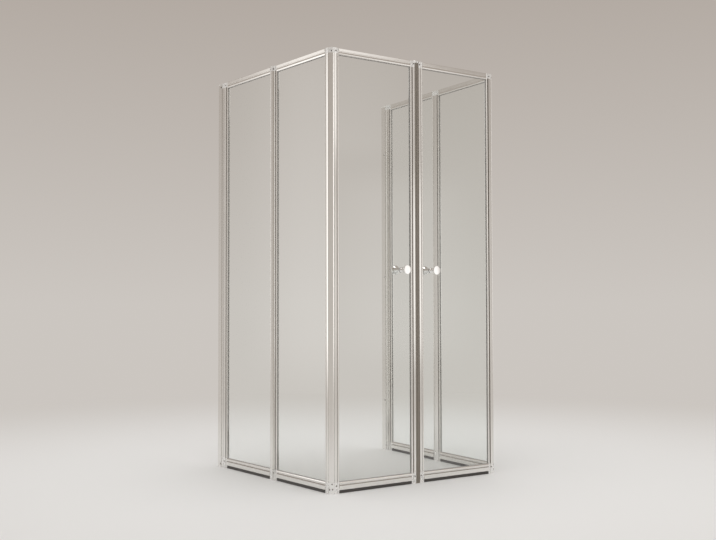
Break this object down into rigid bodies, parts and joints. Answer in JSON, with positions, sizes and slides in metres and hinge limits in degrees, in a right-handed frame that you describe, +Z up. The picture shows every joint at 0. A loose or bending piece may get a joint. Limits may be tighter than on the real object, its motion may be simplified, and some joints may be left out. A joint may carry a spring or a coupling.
{
  "type": "folding bath screen",
  "caption": "Bath screen that stands in a U on the bath rim: framed glass leaves on anti-pinch hinges fold back to the wall, and knobbed doors meet in front on magnetic strips.",
  "frame": {"origin": "on the bath rim, below the centre of the closed screen", "axes": "+X along the front to the right as seen from the room, +Y towards the wall, +Z up"},
  "size_m": [0.7594, 0.7266, 1.4],
  "materials": {
    "profile": "bright polished and anodised",
    "block": "satin moulded, pale grey",
    "glass": "clear, polished",
    "gasket": "matt soft plastic, dark grey",
    "seal": "matt soft plastic, grey",
    "magnetic_strip": "satin, taupe",
    "knob": "mirror bright",
    "screw": "stainless, brushed"
  },
  "bodies": {
    "wall_frame": {"left_wall_profile": "profile", "left_adjusting_profile": "profile", "left_wall_pivot_blocks": "block", "right_wall_profile": "profile", "right_adjusting_profile": "profile", "right_wall_pivot_blocks": "block", "wall_profile_caps": "block", "adjusting_screws": "screw"},
    "left_wall_leaf": {"left_wall_leaf_glass": "glass", "left_wall_leaf_gasket": "gasket", "left_wall_leaf_rails": "profile", "left_wall_leaf_cup_stile": "profile", "left_wall_leaf_nose_stile": "profile", "left_wall_leaf_drip_seal": "seal", "left_wall_leaf_ear_blocks": "block", "left_wall_leaf_pivot_blocks": "block"},
    "left_corner_leaf": {"left_corner_leaf_glass": "glass", "left_corner_leaf_gasket": "gasket", "left_corner_leaf_rails": "profile", "left_corner_leaf_cup_stile": "profile", "left_corner_leaf_nose_stile": "profile", "left_corner_leaf_drip_seal": "seal", "left_corner_leaf_ear_blocks": "block", "left_corner_leaf_pivot_blocks": "block"},
    "left_door": {"left_door_glass": "glass", "left_door_gasket": "gasket", "left_door_rails": "profile", "left_door_cup_stile": "profile", "left_door_meeting_stile": "profile", "left_door_drip_seal": "seal", "left_door_ear_blocks": "block", "left_door_stile_caps": "block", "left_door_magnetic_strip": "magnetic_strip", "left_door_knobs": "knob"},
    "right_wall_leaf": {"right_wall_leaf_glass": "glass", "right_wall_leaf_gasket": "gasket", "right_wall_leaf_rails": "profile", "right_wall_leaf_cup_stile": "profile", "right_wall_leaf_nose_stile": "profile", "right_wall_leaf_drip_seal": "seal", "right_wall_leaf_ear_blocks": "block", "right_wall_leaf_pivot_blocks": "block"},
    "right_corner_leaf": {"right_corner_leaf_glass": "glass", "right_corner_leaf_gasket": "gasket", "right_corner_leaf_rails": "profile", "right_corner_leaf_cup_stile": "profile", "right_corner_leaf_nose_stile": "profile", "right_corner_leaf_drip_seal": "seal", "right_corner_leaf_ear_blocks": "block", "right_corner_leaf_pivot_blocks": "block"},
    "right_door": {"right_door_glass": "glass", "right_door_gasket": "gasket", "right_door_rails": "profile", "right_door_cup_stile": "profile", "right_door_meeting_stile": "profile", "right_door_drip_seal": "seal", "right_door_ear_blocks": "block", "right_door_stile_caps": "block", "right_door_magnetic_strip": "magnetic_strip", "right_door_knobs": "knob"}
  },
  "joints": [
    {"name": "left_fold_hinge", "type": "hinge", "parent": "wall_frame", "child": "left_wall_leaf", "pos_m": [-0.36286, 0.32531, 0.7], "axis": [0, 0, 1], "range_deg": [0, 86]},
    {"name": "left_middle_hinge", "type": "hinge", "parent": "left_wall_leaf", "child": "left_corner_leaf", "pos_m": [-0.36173, -0.00208, 0.7], "axis": [0, 0, 1], "range_deg": [-178, 0]},
    {"name": "left_door_hinge", "type": "hinge", "parent": "left_corner_leaf", "child": "left_door", "pos_m": [-0.329, -0.32081, 0.7], "axis": [0, 0, 1], "range_deg": [-86, 88]},
    {"name": "right_fold_hinge", "type": "hinge", "parent": "wall_frame", "child": "right_wall_leaf", "pos_m": [0.36286, 0.32531, 0.7], "axis": [0, 0, -1], "range_deg": [0, 86]},
    {"name": "right_middle_hinge", "type": "hinge", "parent": "right_wall_leaf", "child": "right_corner_leaf", "pos_m": [0.36173, -0.00208, 0.7], "axis": [0, 0, -1], "range_deg": [-178, 0]},
    {"name": "right_door_hinge", "type": "hinge", "parent": "right_corner_leaf", "child": "right_door", "pos_m": [0.329, -0.32081, 0.7], "axis": [0, 0, -1], "range_deg": [-86, 88]}
  ],
  "couplings": [
    {"joint": "left_middle_hinge", "follows": "left_fold_hinge", "ratio": -2.069},
    {"joint": "right_middle_hinge", "follows": "right_fold_hinge", "ratio": -2.069}
  ]
}
